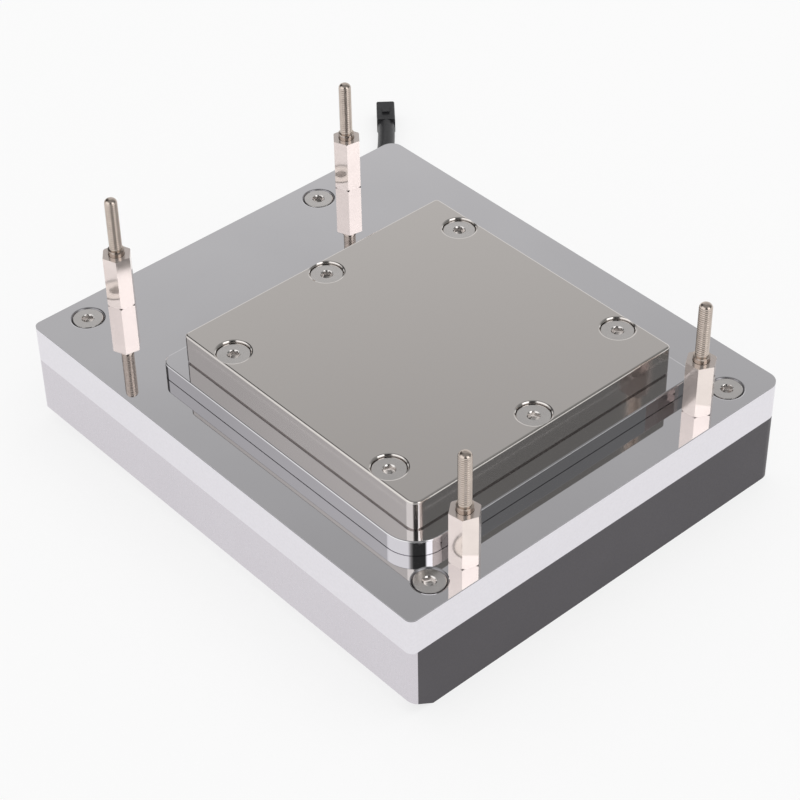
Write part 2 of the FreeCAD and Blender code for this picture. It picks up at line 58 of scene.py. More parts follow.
CONTACT_SCREWS = [f"contact_screw_{n}" for n in range(1, 7)]
PLATE_SCREWS = [f"plate_screw_{n}" for n in range(1, 5)]
STANDOFFS = [f"standoff_{n}" for n in range(1, 5)]
STUDS = [f"stud_{n}" for n in range(1, 5)]

# The lead's route, from its exit out of the boot to the plug
LEAD_ROUTE = [
    (-0.0582, -0.0110, 0.0050),
    (-0.0582, -0.0020, 0.0050),
    (-0.0580, 0.0095, 0.00185),
    (-0.0584, 0.0215, 0.00185),
    (-0.0596, 0.0350, 0.00185),
    (-0.0635, 0.0480, 0.00185),
    (-0.0712, 0.0596, 0.00185),
    (-0.0800, 0.0670, 0.00185),
]

# Height of the mounting plate's top face
PLATE_TOP = 22.0 * MM

# Direction of one corner of each hex standoff, in degrees from +X
HEX_TURNS = (21.0, 9.0, 3.0, 21.0)

# Where the camera stands, and its right, up and backward directions
CAMERA_PLACE = (0.24899, -0.21804, 0.29066)
CAMERA_RIGHT = (0.66696, 0.74496, -0.01399)
CAMERA_UP = (-0.47411, 0.43881, 0.76333)
CAMERA_BACK = (0.57479, -0.50248, 0.64586)

# The middle of the soft lamp, and the colour of the backdrop that the camera sees
LAMP_PLACE = (0.2, 0.35, 1.25)
BACKDROP = (0.96, 0.96, 0.96)

# Brightness that polished metal sees round the horizon, by direction in degrees from +X.
# The last number says how much it falls off with height.
SURROUNDINGS = [
    (-180, (0.08, 0.08, 0.08), 0.0),
    (-158, (0.10, 0.10, 0.10), 0.0),
    (-151, (0.62, 0.62, 0.62), 0.0),
    (-142, (0.78, 0.78, 0.78), 0.0),
    (-136, (0.90, 0.90, 0.90), 0.0),
    (-128, (1.36, 1.36, 1.36), 0.0),
    (-66, (1.36, 1.36, 1.36), 0.0),
    (-58, (0.40, 0.39, 0.38), 0.0),
    (-50, (0.05, 0.05, 0.05), 0.0),
    (-14, (0.05, 0.05, 0.05), 0.0),
    (-8, (2.0, 2.0, 2.0), 0.0),
    (26, (2.0, 2.0, 2.0), 0.0),
    (33, (0.22, 0.225, 0.22), 0.0),
    (75, (0.24, 0.245, 0.24), 0.0),
    (98, (0.50, 0.50, 0.50), 0.6),
    (152, (0.57, 0.57, 0.57), 1.0),
    (160, (0.10, 0.10, 0.10), 0.0),
    (180, (0.08, 0.08, 0.08), 0.0),
]
OVERHEAD = (0.36, 0.36, 0.36)
NEAR_HORIZON = (0.92, 0.92, 0.92)

# How the surroundings change with height, which is the sine of the angle above the horizon:
# the height at which they show as listed, the rate of their fall and its limits, and where
# they blend into OVERHEAD and NEAR_HORIZON
PLAIN_HEIGHT = 0.643
FALL_RATE = 3.4
FALL_LEAST = 0.25
FALL_MOST = 1.65
OVERHEAD_FROM = 0.8
OVERHEAD_BLEND = 0.05
HORIZON_BELOW = 0.24
HORIZON_BLEND = 0.08

# The part of a noise pattern's values that carries its contrast
NOISE_MIDDLE = (0.3, 0.7)

# Depth of the mounting plate's polish, and the tone of the painted shade in a thin band at the top of its
# rim, which stands for the shade of its broken edge
POLISH_SKIN = 0.03 * MM
PAINTED_EDGE_SHADE_TONE = 0.36

# Facets round each kind of turned shape
HEX_SIDES = 6
POINT_FACETS = 32
ROD_FACETS = 40
MOUTH_FACETS = 48
HEAD_FACETS = 64
TURNED_FACETS = 96

# How far a cutting or joining body runs past a face
OVERRUN = 0.2 * MM

# How much of a screw head's bevel its steep step goes inwards
BEVEL_STEEP_IN = 0.35

# The countersunk mouth and the drilled point of a screw's socket, in shares of the socket's
# corner radius, and the radius that the point ends at
MOUTH_RADIUS = 1.15
MOUTH_DEPTH = 0.35
MOUTH_BELOW_TOP = 0.25
DRILL_RADIUS = 0.8
POINT_DEPTH = 0.3
POINT_BELOW_SOCKET = 0.28
POINT_END = 0.01 * MM

# Rise of the standoffs' turned ends for each unit that they go in, and the gap round a thread
CUT_SLOPE = 1.2
THREAD_CLEAR = 0.05 * MM

# Rows of the stud's grid, how much of its run goes into each end disc, the turns that the thread
# takes to reach its depth, the share of the tip that counts as its start, and the distance at
# which the seam of the rolled-up grid is joined
THREAD_ROWS = 290
DISC_WALK = 0.4 * MM
RUN_IN_TURNS = 1.5
TIP_START = 0.0001
MERGE_DISTANCE = 0.001 * MM


def middle(node):
    """The middle of a CAD node's box, in metres."""
    low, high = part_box(node)
    return (low + high) / 2


def top_of(node):
    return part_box(node)[1].z


# Properties


class ColdPlateSizes(PropertyGroup):
    """Sizes of the fine pieces."""

    # Height of the painted shade band that stands for the broken edge at the top of the plate's rim
    edge_shade_height: FloatProperty(
        name="Painted edge shade",
        description="Height of the painted shade band at the top of the mounting plate's rim",
        default=0.25 * MM,
        unit="LENGTH",
    )
    head_bevel: FloatProperty(
        name="Head bevel",
        description="Width of the bevel round a screw head",
        default=0.12 * MM,
        min=0.0,
        unit="LENGTH",
    )
    head_height: FloatProperty(
        name="Head height",
        description="Height of a screw head",
        default=2.0 * MM,
        unit="LENGTH",
    )
    socket_flats: FloatProperty(
        name="Socket size",
        description="Distance across the flats of the hex socket",
        default=2.0 * MM,
        unit="LENGTH",
    )
    socket_depth: FloatProperty(
        name="Socket depth",
        description="Depth of the hex socket",
        default=1.0 * MM,
        unit="LENGTH",
    )
    socket_turn: FloatProperty(
        name="Socket turn",
        description="How far the first socket is turned",
        default=math.radians(43),
        subtype="ANGLE",
    )
    socket_step: FloatProperty(
        name="Turn per screw",
        description="How much further each next socket is turned",
        default=math.radians(25),
        subtype="ANGLE",
    )
    thread_radius: FloatProperty(
        name="Thread radius",
        description="Outer radius of the screws and of the standoffs' spigots",
        default=1.5 * MM,
        unit="LENGTH",
    )
    hex_flats: FloatProperty(
        name="Hex size",
        description="Distance across the flats of a standoff",
        default=5.0 * MM,
        unit="LENGTH",
    )
    foot_cut: FloatProperty(
        name="Foot cut",
        description="How far the corners are turned off at a standoff's foot",
        default=0.22 * MM,
        unit="LENGTH",
    )
    rim_cut: FloatProperty(
        name="Rim cut",
        description="How far the corners are turned off at a standoff's top",
        default=0.1 * MM,
        unit="LENGTH",
    )
    bore_depth: FloatProperty(
        name="Bore depth",
        description="Depth of the standoff's bore for the stud",
        default=5.7 * MM,
        unit="LENGTH",
    )
    stud_radius: FloatProperty(
        name="Stud radius",
        description="Outer radius of the stud thread",
        default=1.225 * MM,
        unit="LENGTH",
    )
    thread_pitch: FloatProperty(
        name="Thread pitch",
        description="Rise of the stud thread in one turn",
        default=0.45 * MM,
        unit="LENGTH",
    )
    thread_depth: FloatProperty(
        name="Thread depth",
        description="Depth of the stud thread",
        default=0.1 * MM,
        unit="LENGTH",
    )
    stud_tip: FloatProperty(
        name="Stud tip",
        description="Rounding of the stud's tip",
        default=0.9 * MM,
        unit="LENGTH",
    )
    grip_rise: FloatProperty(
        name="Grip rise",
        description="How far the stud's thick end shows above the standoff",
        default=1.2 * MM,
        unit="LENGTH",
    )
    grip_radius: FloatProperty(
        name="Grip radius",
        description="Outer radius of the stud's thick end in the standoff",
        default=1.5 * MM,
        unit="LENGTH",
    )
    lead_diameter: FloatProperty(
        name="Lead diameter",
        description="Outer diameter of the sensor lead",
        default=3.7 * MM,
        unit="LENGTH",
    )
    lead_length: FloatProperty(
        name="Lead length",
        description="Length of the sensor lead from boot to plug",
        default=85.2 * MM,
        unit="LENGTH",
    )


class ColdPlateFinishes(PropertyGroup):
    """Colours of the finishes."""

    polish: FloatVectorProperty(
        name="Plate polish",
        description="Colour of the polished mounting plate",
        default=(0.675, 0.665, 0.685),
        size=3,
        min=0.0,
        max=1.0,
        subtype="COLOR",
    )
    rim: FloatVectorProperty(
        name="Plate rim",
        description="Colour of the satin rim of the mounting plate",
        default=(0.82, 0.80, 0.84),
        size=3,
        min=0.0,
        max=1.0,
        subtype="COLOR",
    )
    nickel: FloatVectorProperty(
        name="Contact nickel",
        description="Colour of the contact plate",
        default=(0.67, 0.635, 0.61),
        size=3,
        min=0.0,
        max=1.0,
        subtype="COLOR",
    )
    satin: FloatVectorProperty(
        name="Housing satin",
        description="Colour of the housing",
        default=(0.68, 0.65, 0.69),
        size=3,
        min=0.0,
        max=1.0,
        subtype="COLOR",
    )
    cover: FloatVectorProperty(
        name="End cover",
        description="Colour of the dark end cover",
        default=(0.1, 0.094, 0.102),
        size=3,
        min=0.0,
        max=1.0,
        subtype="COLOR",
    )
    screw: FloatVectorProperty(
        name="Screws",
        description="Colour of the socket screws",
        default=(0.66, 0.635, 0.62),
        size=3,
        min=0.0,
        max=1.0,
        subtype="COLOR",
    )
    standoff: FloatVectorProperty(
        name="Standoffs",
        description="Colour of the plated standoffs",
        default=(0.93, 0.83, 0.78),
        size=3,
        min=0.0,
        max=1.0,
        subtype="COLOR",
    )
    stud: FloatVectorProperty(
        name="Studs",
        description="Colour of the threaded studs",
        default=(0.56, 0.485, 0.43),
        size=3,
        min=0.0,
        max=1.0,
        subtype="COLOR",
    )
    jacket: FloatVectorProperty(
        name="Lead jacket",
        description="Colour of the lead's jacket",
        default=(0.02, 0.02, 0.022),
        size=3,
        min=0.0,
        max=1.0,
        subtype="COLOR",
    )
    plug: FloatVectorProperty(
        name="Plug",
        description="Colour of the lead's plug",
        default=(0.016, 0.016, 0.018),
        size=3,
        min=0.0,
        max=1.0,
        subtype="COLOR",
    )
    boot: FloatVectorProperty(
        name="Boot",
        description="Colour of the rubber boot",
        default=(0.02, 0.02, 0.022),
        size=3,
        min=0.0,
        max=1.0,
        subtype="COLOR",
    )
    seal: FloatVectorProperty(
        name="Seals",
        description="Colour of the seal rings",
        default=(0.03, 0.03, 0.03),
        size=3,
        min=0.0,
        max=1.0,
        subtype="COLOR",
    )
    divider: FloatVectorProperty(
        name="Flow divider",
        description="Colour of the moulded flow divider",
        default=(0.7, 0.68, 0.62),
        size=3,
        min=0.0,
        max=1.0,
        subtype="COLOR",
    )
    probe: FloatVectorProperty(
        name="Probe",
        description="Colour of the sensor's sleeve",
        default=(0.6, 0.6, 0.6),
        size=3,
        min=0.0,
        max=1.0,
        subtype="COLOR",
    )


class ColdPlateStage(PropertyGroup):
    """Camera, floor and light."""

    lens: FloatProperty(
        name="Focal length",
        description="Focal length of the camera in millimetres",
        default=105.57,
        min=10.0,
    )
    lamp_power: FloatProperty(
        name="Lamp power",
        description="Power of the soft key lamp",
        default=3.0,
        min=0.0,
        unit="POWER",
    )
    ambient: FloatProperty(
        name="Ambient light",
        description="Strength of the even light from all round",
        default=0.75,
        min=0.0,
    )
    floor_white: FloatProperty(
        name="Floor white",
        description="Share of plain white in what the camera and the metal see of the floor",
        default=0.76,
        min=0.0,
        max=1.0,
        subtype="FACTOR",
    )
    floor_colour: FloatVectorProperty(
        name="Floor",
        description="Colour of the floor",
        default=(0.96, 0.96, 0.96),
        size=3,
        min=0.0,
        max=1.0,
        subtype="COLOR",
    )


# Node helpers


def put(tree, kind, sockets=None, **settings):
    """Adds a node; sockets maps an input's name or number to a value or to an output that feeds it."""
    node = tree.nodes.new(kind)
    for key, value in settings.items():
        setattr(node, key, value)
    for key, value in (sockets or {}).items():
        if isinstance(value, Wire):
            value = value.socket
        if isinstance(value, bpy.types.NodeSocket):
            tree.links.new(value, node.inputs[key])
        else:
            node.inputs[key].default_value = value
    return node


class Wire:
    """A number that runs through a node tree, so that sums can be written as sums."""

    def __init__(self, tree, socket):
        self.tree = tree
        self.socket = socket

    def calc(self, operation, *others):
        sockets = {0: self.socket}
        for place, other in enumerate(others, 1):
            sockets[place] = other
        node = put(self.tree, "ShaderNodeMath", sockets, operation=operation)
        return Wire(self.tree, node.outputs[0])

    def __add__(self, other):
        return self.calc("ADD", other)

    def __radd__(self, other):
        return self.calc("ADD", other)

    def __sub__(self, other):
        return self.calc("SUBTRACT", other)

    def __rsub__(self, other):
        return (-self).calc("ADD", other)

    def __neg__(self):
        return self.calc("MULTIPLY", -1.0)

    def __mul__(self, other):
        return self.calc("MULTIPLY", other)

    def __truediv__(self, other):
        return self.calc("DIVIDE", other)

    def least(self, other):
        return self.calc("MINIMUM", other)

    def most(self, other):
        return self.calc("MAXIMUM", other)


def new_shape_tree(name, labels):
    """A Geometry Nodes tree with named number inputs; returns it with its entry node and their wires."""
    tree = bpy.data.node_groups.new(name, "GeometryNodeTree")
    tree.interface.new_socket(name="Places", in_out="INPUT", socket_type="NodeSocketGeometry")
    for label in labels:
        tree.interface.new_socket(name=label, in_out="INPUT", socket_type="NodeSocketFloat")
    tree.interface.new_socket(name="Geometry", in_out="OUTPUT", socket_type="NodeSocketGeometry")
    entry = tree.nodes.new("NodeGroupInput")
    given = {label: Wire(tree, entry.outputs[label]) for label in labels}
    return tree, entry, given


def end_shape_tree(tree, geometry, material):
    """Every shape tree ends in real meshes with their material."""
    real = put(tree, "GeometryNodeRealizeInstances", {0: geometry})
    painted = put(tree, "GeometryNodeSetMaterial", {"Geometry": real.outputs[0], "Material": material})
    leave = tree.nodes.new("NodeGroupOutput")
    tree.links.new(painted.outputs[0], leave.inputs[0])


def grown(name, places, tree, values, smooth_angle, turns=None):
    """Runs a shape tree on a cloud of points, each with its turn, and returns the plain mesh object."""
    cloud = bpy.data.meshes.new(name + "_places")
    cloud.from_pydata([tuple(p) for p in places], [], [])
    if turns:
        carried = cloud.attributes.new("turn", "FLOAT", "POINT")
        carried.data.foreach_set("value", turns)
    source = bpy.data.objects.new(name + "_source", cloud)
    bpy.context.scene.collection.objects.link(source)
    modifier = source.modifiers.new("Shape", "NODES")
    modifier.node_group = tree
    for item in tree.interface.items_tree:
        if item.in_out == "INPUT" and item.name in values:
            modifier[item.identifier] = values[item.name]
    graph = bpy.context.evaluated_depsgraph_get()
    mesh = bpy.data.meshes.new_from_object(source.evaluated_get(graph), depsgraph=graph)
    source.modifiers.remove(modifier)
    bpy.data.objects.remove(source)
    if not mesh.polygons:
        raise RuntimeError(f"{name} came out empty")
    mesh.name = name
    mesh.shade_smooth()
    mesh.set_sharp_from_angle(angle=smooth_angle)
    piece = bpy.data.objects.new(name, mesh)
    bpy.context.scene.collection.objects.link(piece)
    return piece


def fitted(piece, nodes):
    """Every piece rides on the one body, and the CAD nodes that it stands for are hidden."""
    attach(piece, ROOT)
    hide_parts(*nodes)


def dress(node, material):
    """Gives a kept CAD node its finish, through its own material slots."""
    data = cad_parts[node].data
    if not data.materials:
        data.materials.append(material)
    for number in range(len(data.materials)):
        data.materials[number] = material


# Materials


def new_material(name):
    """A material with only its output and a Principled shader; returns it, its tree and the shader."""
    material = bpy.data.materials.new(name)
    material.use_nodes = True
    tree = material.node_tree
    tree.nodes.clear()
    shader = tree.nodes.new("ShaderNodeBsdfPrincipled")
    leave = tree.nodes.new("ShaderNodeOutputMaterial")
    tree.links.new(shader.outputs[0], leave.inputs["Surface"])
    return material, tree, shader


def object_place(tree):
    """Object coordinates."""
    return tree.nodes.new("ShaderNodeTexCoord").outputs["Object"]


def noise(tree, place, scale, detail):
    node = put(tree, "ShaderNodeTexNoise", {"Vector": place, "Scale": scale, "Detail": detail})
    return node.outputs["Fac"]


def ranged(tree, pattern, low, high):
    """Maps the middle of a noise pattern onto low to high."""
    start, end = NOISE_MIDDLE
    sockets = {"Value": pattern, "From Min": start, "From Max": end, "To Min": low, "To Max": high}
    return put(tree, "ShaderNodeMapRange", sockets).outputs[0]


def blended(tree, factor, first, second):
    """A colour between two colours, each of them a socket or three numbers."""
    sockets = {0: factor}
    for number, colour in ((6, first), (7, second)):
        sockets[number] = colour if isinstance(colour, bpy.types.NodeSocket) else (*colour, 1.0)
    return put(tree, "ShaderNodeMix", sockets, data_type="RGBA").outputs[2]


def toned(colour, factor):
    return tuple(min(1.0, channel * factor) for channel in colour)


def mottled(tree, pattern, colour, darkest, lightest):
    """A colour that goes from its darkest to its lightest share with a noise pattern."""
    share = ranged(tree, pattern, 0.0, 1.0)
    return blended(tree, share, toned(colour, darkest), toned(colour, lightest))


def above(tree, place, height):
    """One where the surface lies higher than height, else nought."""
    split = put(tree, "ShaderNodeSeparateXYZ", {0: place})
    return Wire(tree, split.outputs["Z"]).calc("GREATER_THAN", height)


def metal(name, colour, rough, spread=0.03, tone=0.04, grain=900.0, cloud=60.0, bare=1.0, zone=None):
    """A bare or plated metal with a cloudy tone and a gloss that varies with a fine grain.

    bare is its metallic share. zone gives a height, the tone above it and the extra roughness below it; a
    tone below one paints shade on the faces above that height.
    """
    material, tree, shader = new_material(name)
    shader.inputs["Metallic"].default_value = bare
    place = object_place(tree)
    clouds = noise(tree, place, scale=cloud, detail=4.0)
    grains = noise(tree, place, scale=grain, detail=2.0)
    tint = mottled(tree, clouds, colour, 1 - tone, 1 + tone)
    gloss = Wire(tree, ranged(tree, grains, max(0.0, rough - spread), rough + spread))
    if zone:
        # A top tone below one is painted shade on the faces above the zone's height
        on_top = above(tree, place, zone["height"])
        tint = blended(tree, on_top, tint, toned(colour, zone["top_tone"]))
        gloss = gloss + (1.0 - on_top) * zone["side_rough"]
    tree.links.new(tint, shader.inputs["Base Color"])
    tree.links.new(gloss.socket, shader.inputs["Roughness"])
    return material


def plastic(name, colour, rough, relief=0.01 * MM, tone=0.25):
    """A moulded plastic or rubber: fine dull grain over a slightly cloudy colour."""
    spread = 0.06
    material, tree, shader = new_material(name)
    place = object_place(tree)
    clouds = noise(tree, place, scale=140.0, detail=4.0)
    grains = noise(tree, place, scale=1500.0, detail=3.0)
    tree.links.new(mottled(tree, clouds, colour, 1 - tone, 1 + tone), shader.inputs["Base Color"])
    tree.links.new(ranged(tree, grains, rough - spread, rough + spread), shader.inputs["Roughness"])
    bump = put(tree, "ShaderNodeBump", {"Strength": 1.0, "Distance": relief, "Height": grains})
    tree.links.new(bump.outputs[0], shader.inputs["Normal"])
    return material


def plate_finish(finishes, edge_shade_height):
    """Mirror polish on top, satin on the rim, and between them a thin band of painted shade that stands for
    the broken edge.
    """
    material, tree, shader = new_material("plate_polish")
    shader.inputs["Metallic"].default_value = 1.0
    place = object_place(tree)
    on_top = above(tree, place, PLATE_TOP - POLISH_SKIN)
    in_edge_shade = above(tree, place, PLATE_TOP - edge_shade_height)
    clouds = noise(tree, place, scale=45.0, detail=3.0)
    grains = noise(tree, place, scale=2500.0, detail=2.0)
    polish = mottled(tree, clouds, finishes.polish, 0.98, 1.02)
    satin = mottled(tree, grains, finishes.rim, 0.97, 1.02)
    # Painted shade: the top band of the rim is darkened to stand for the shade on the broken edge
    side = blended(tree, in_edge_shade, satin, toned(finishes.rim, PAINTED_EDGE_SHADE_TONE))
    tree.links.new(blended(tree, on_top, side, polish), shader.inputs["Base Color"])
    smooth = Wire(tree, ranged(tree, clouds, 0.015, 0.035))
    dull = Wire(tree, ranged(tree, grains, 0.28, 0.36))
    gloss = dull + (smooth - dull) * on_top
    tree.links.new(gloss.socket, shader.inputs["Roughness"])
    return material


# Shape trees


def lifted(tree, body, rise):
    """Moves a shape straight up."""
    lift = put(tree, "ShaderNodeCombineXYZ", {2: rise})
    sockets = {"Geometry": body.outputs[0], "Translation": lift.outputs[0]}
    return put(tree, "GeometryNodeTransform", sockets).outputs[0]


def post(tree, radius, depth, height, facets):
    """An upright closed cylinder that starts at height."""
    body = put(tree, "GeometryNodeMeshCylinder", {"Vertices": facets, "Radius": radius, "Depth": depth})
    return lifted(tree, body, height + depth * 0.5)


def taper(tree, low_radius, high_radius, depth, height, facets):
    """An upright closed cone frustum that starts at height."""
    sockets = {"Vertices": facets, "Radius Top": high_radius, "Radius Bottom": low_radius, "Depth": depth}
    return lifted(tree, put(tree, "GeometryNodeMeshCone", sockets), height)


def combine(tree, operation, first, others):
    """A boolean of one mesh with several."""
    node = put(tree, "GeometryNodeMeshBoolean", operation=operation, solver="EXACT")
    first_input = 0 if operation == "DIFFERENCE" else 1
    tree.links.new(first, node.inputs[first_input])
    for other in others:
        tree.links.new(other, node.inputs[1])
    return node.outputs[0]


def place_value(tree, name):
    """A number that each point carries, as a wire."""
    node = put(tree, "GeometryNodeInputNamedAttribute", {"Name": name}, data_type="FLOAT")
    return Wire(tree, node.outputs[0])


def on_places(tree, entry, instance, turn):
    """Stands a copy on every point, each turned about its own axis."""
    spin = put(tree, "ShaderNodeCombineXYZ", {2: turn})
    sockets = {"Points": entry.outputs["Places"], "Instance": instance, "Rotation": spin.outputs[0]}
    return put(tree, "GeometryNodeInstanceOnPoints", sockets).outputs[0]


def screw_tree(material):
    """A socket screw whose head top is at the point that it stands on."""
    labels = (
        "Head radius",
        "Head height",
        "Head bevel",
        "Socket size",
        "Socket depth",
        "Shank radius",
        "Length",
        "First turn",
        "Turn per screw",
    )
    tree, entry, given = new_shape_tree("Socket screw", labels)
    head_radius, head_height = given["Head radius"], given["Head height"]
    bevel, depth = given["Head bevel"], given["Socket depth"]

    # The bevel is a steep step below a flat one
    flat_rise = bevel * BEVEL_STEEP_IN
    steep_rise = bevel * (1 - BEVEL_STEEP_IN)
    waist = head_radius - bevel * BEVEL_STEEP_IN
    side = post(tree, head_radius, head_height - bevel, -head_height, HEAD_FACETS)
    steep = taper(tree, head_radius, waist, steep_rise, -bevel, HEAD_FACETS)
    flat = taper(tree, waist, head_radius - bevel, flat_rise, -flat_rise, HEAD_FACETS)
    shank_foot = -head_height - given["Length"]
    shank = post(tree, given["Shank radius"], given["Length"], shank_foot, ROD_FACETS)
    body = combine(tree, "UNION", side, [steep, flat, shank])

    # The hex socket is drilled out to a point and countersunk at its mouth
    corner = given["Socket size"] / math.sqrt(3)
    drill = corner * DRILL_RADIUS
    mouth_foot = corner * -MOUTH_BELOW_TOP
    point_foot = -depth - corner * POINT_BELOW_SOCKET
    socket = post(tree, corner, depth + OVERRUN, -depth, HEX_SIDES)
    mouth = taper(tree, drill, corner * MOUTH_RADIUS, corner * MOUTH_DEPTH, mouth_foot, MOUTH_FACETS)
    point = taper(tree, POINT_END, drill, corner * POINT_DEPTH, point_foot, POINT_FACETS)
    body = combine(tree, "DIFFERENCE", body, [socket, mouth, point])
    index = Wire(tree, tree.nodes.new("GeometryNodeInputIndex").outputs[0])
    turn = given["First turn"] + index * given["Turn per screw"]
    end_shape_tree(tree, on_places(tree, entry, body, turn), material)
    return tree


def standoff_tree(material):
    """A hex body with turned ends and a spigot, whose foot is at the point that it stands on."""
    labels = (
        "Hex size",
        "Height",
        "Foot cut",
        "Rim cut",
        "Spigot radius",
        "Spigot length",
        "Bore",
        "Bore depth",
    )
    tree, entry, given = new_shape_tree("Hex standoff", labels)
    height, foot_cut, rim_cut = given["Height"], given["Foot cut"], given["Rim cut"]
    corner = given["Hex size"] / math.sqrt(3)
    prism = post(tree, corner, height, 0.0, HEX_SIDES)
    foot_rise = foot_cut * CUT_SLOPE
    rim_rise = rim_cut * CUT_SLOPE
    foot = taper(tree, corner - foot_cut, corner, foot_rise, 0.0, TURNED_FACETS)
    waist = post(tree, corner, height - foot_rise - rim_rise, foot_rise, TURNED_FACETS)
    rim = taper(tree, corner, corner - rim_cut, rim_rise, height - rim_rise, TURNED_FACETS)
    turned = combine(tree, "UNION", foot, [waist, rim])
    body = combine(tree, "INTERSECT", prism, [turned])
    spigot_length, bore_depth = given["Spigot length"], given["Bore depth"]
    spigot = post(tree, given["Spigot radius"], spigot_length + OVERRUN, -spigot_length, ROD_FACETS)
    body = combine(tree, "UNION", body, [spigot])
    bore = post(tree, given["Bore"], bore_depth + OVERRUN, height - bore_depth, ROD_FACETS)
    body = combine(tree, "DIFFERENCE", body, [bore])
    end_shape_tree(tree, on_places(tree, entry, body, place_value(tree, "turn")), material)
    return tree


def thread_tree(material):
    """A threaded rod with a thick plain end and a rounded tip, which stands on its thick end.

    A grid is rolled up: its X runs once round the rod, and its Y runs up it. At both ends of Y the
    rows go on inwards to the axis and close the rod with a flat disc.
    """
    labels = ("Radius", "Length", "Pitch", "Thread depth", "Tip round", "Grip height", "Grip rim")
    tree, entry, given = new_shape_tree("Threaded stud", labels)
    length, pitch, tip_round = given["Length"], given["Pitch"], given["Tip round"]
    grid = put(
        tree,
        "GeometryNodeMeshGrid",
        {"Size X": 1.0, "Size Y": 1.0, "Vertices X": ROD_FACETS + 1, "Vertices Y": THREAD_ROWS},
    )
    split = put(tree, "ShaderNodeSeparateXYZ", {0: tree.nodes.new("GeometryNodeInputPosition").outputs[0]})
    share = Wire(tree, split.outputs["X"]) + 0.5
    run = Wire(tree, split.outputs["Y"]) + 0.5
    walk = run * (length + 2 * DISC_WALK) - DISC_WALK
    height = walk.most(0.0).least(length)

    # The thread starts above the thick end and reaches its depth within a turn or two
    phase = height / pitch - share
    wave = (phase * math.tau).calc("COSINE") * 0.5 + 0.5
    run_in = ((height - given["Grip height"]) / (pitch * RUN_IN_TURNS)).most(0.0).least(1.0)
    on_grip = height.calc("LESS_THAN", given["Grip height"])
    body = given["Radius"] - given["Thread depth"] * wave * run_in + given["Grip rim"] * on_grip

    # The rounded tip limits the radius, and the discs take it down to nought
    into_tip = (height - length + tip_round).most(0.0) / tip_round
    tip = tip_round * (1.0 - (1.0 - into_tip * into_tip).most(0.0).calc("SQRT"))
    below_tip = into_tip.calc("LESS_THAN", TIP_START)
    limit = given["Radius"] - tip + below_tip * given["Radius"]
    past_end = (walk - length).most(0.0) / DISC_WALK
    before_start = (-walk).most(0.0) / DISC_WALK
    inwards = 1.0 - past_end.most(before_start).least(1.0)
    radius = body.least(limit) * inwards
    angle = share * math.tau
    spot = put(
        tree,
        "ShaderNodeCombineXYZ",
        {0: radius * angle.calc("COSINE"), 1: radius * angle.calc("SINE"), 2: height},
    )
    rod = put(tree, "GeometryNodeSetPosition", {"Geometry": grid.outputs[0], "Position": spot.outputs[0]})
    sockets = {"Geometry": rod.outputs[0], "Distance": MERGE_DISTANCE}
    closed = put(tree, "GeometryNodeMergeByDistance", sockets)
    end_shape_tree(tree, on_places(tree, entry, closed.outputs[0], 0.0), material)
    return tree


# Stage


class COLDPLATE_OT_stage(Operator):
    """Sets up the camera, the floor and the soft studio light"""

    bl_idname = "coldplate.stage"
    bl_label = "Stage"

    def execute(self, context):
        stage = context.scene.coldplate_stage
        make_camera(context, stage)
        make_floor(context, stage)
        make_surroundings(context, stage)
        make_lamp(context, stage)
        return {"FINISHED"}


def make_camera(context, stage):
    data = bpy.data.cameras.new("camera")
    data.sensor_width = 36.0
    data.lens = stage.lens
    data.clip_start = 0.01
    data.clip_end = 20.0
    camera = bpy.data.objects.new("camera", data)
    columns = [Vector(v).normalized() for v in (CAMERA_RIGHT, CAMERA_UP, CAMERA_BACK)]
    turn = Matrix(columns).transposed().to_4x4()
    camera.matrix_world = Matrix.Translation(Vector(CAMERA_PLACE)) @ turn
    context.scene.collection.objects.link(camera)
    context.scene.camera = camera


def make_floor(context, stage):
    """A pale paper floor, which the camera and the metal see partly as plain white."""
    half = 3.0
    mesh = bpy.data.meshes.new("floor")
    corners = [(-half, -half, 0), (half, -half, 0), (half, half, 0), (-half, half, 0)]
    mesh.from_pydata(corners, [], [(0, 1, 2, 3)])
    floor = bpy.data.objects.new("floor", mesh)
    context.scene.collection.objects.link(floor)
    material, tree, shader = new_material("floor_paper")
    fibres = noise(tree, object_place(tree), scale=400.0, detail=4.0)
    tone = blended(tree, fibres, toned(stage.floor_colour, 0.995), tuple(stage.floor_colour))
    tree.links.new(tone, shader.inputs["Base Color"])
    shader.inputs["Roughness"].default_value = 0.9
    shader.inputs["Specular IOR Level"].default_value = 0.1
    rays = tree.nodes.new("ShaderNodeLightPath")
    shown = Wire(tree, rays.outputs["Is Camera Ray"])
    for kind in ("Is Glossy Ray", "Is Transmission Ray"):
        shown = shown.most(Wire(tree, rays.outputs[kind]))
    white = put(tree, "ShaderNodeEmission", {"Color": (1.0, 1.0, 1.0, 1.0), "Strength": 1.0})
    sockets = {0: shown * stage.floor_white, 1: shader.outputs[0], 2: white.outputs[0]}
    mixed = put(tree, "ShaderNodeMixShader", sockets)
    tree.links.new(mixed.outputs[0], tree.nodes["Material Output"].inputs["Surface"])
    mesh.materials.append(material)


def surroundings_ramp(tree, direction):
    """The ramp through SURROUNDINGS; direction is a share of a full turn, and Alpha is how much it falls."""
    ramp = tree.nodes.new("ShaderNodeValToRGB")
    tree.links.new(direction.socket, ramp.inputs[0])
    stops = ramp.color_ramp.elements
    while len(stops) > 1:
        stops.remove(stops[-1])
    for number, (angle, colour, falling) in enumerate(SURROUNDINGS):
        share = angle / 360 + 0.5
        stop = stops[0] if number == 0 else stops.new(share)
        stop.position = share
        stop.color = (*colour, falling)
    return ramp


